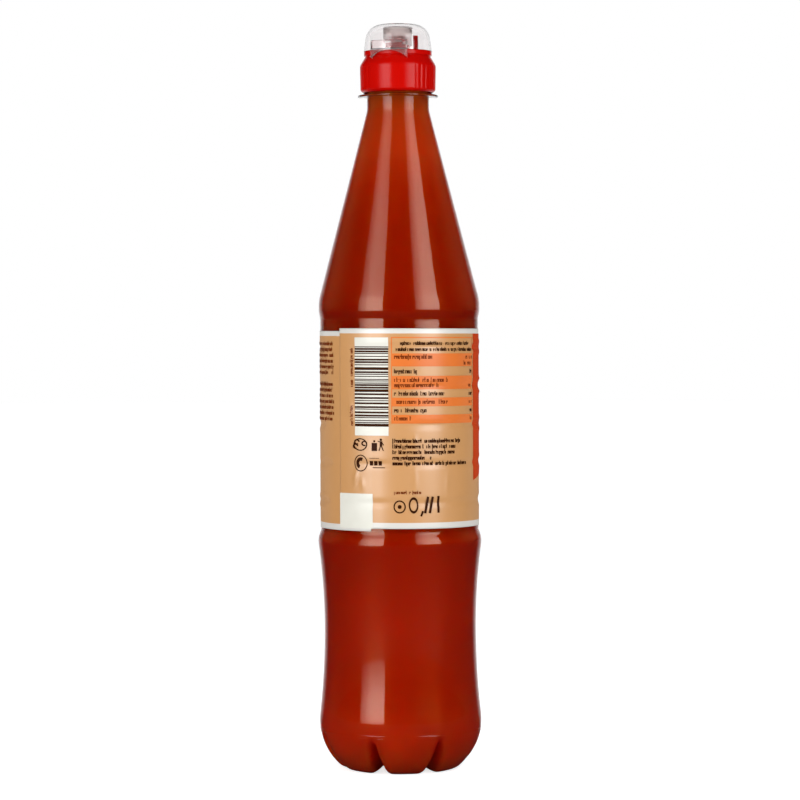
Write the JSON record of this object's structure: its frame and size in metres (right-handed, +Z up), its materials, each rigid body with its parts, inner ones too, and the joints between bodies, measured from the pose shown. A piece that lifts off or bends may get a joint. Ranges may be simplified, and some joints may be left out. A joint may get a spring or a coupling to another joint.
{
  "type": "bottle of fruit syrup",
  "caption": "Clear plastic bottle of orange-red fruit syrup with a wrapped tan film label, a ribbed red screw cap and a clear domed overcap over its spout.",
  "frame": {"origin": "middle of the base, in the plane of the feet", "axes": "+Z up along the bottle's axis, -Y towards the side that shows the printed table and bar code, +X to that side's right"},
  "size_m": [0.0668, 0.0668, 0.3033],
  "materials": {
    "pet": "gloss",
    "syrup": "gloss",
    "film": "satin",
    "red_plastic": "gloss",
    "clear_plastic": "gloss"
  },
  "bodies": {
    "root": {"bottle": "pet", "syrup": "syrup", "label": "film", "cap": "red_plastic", "overcap": "clear_plastic"}
  },
  "joints": []
}
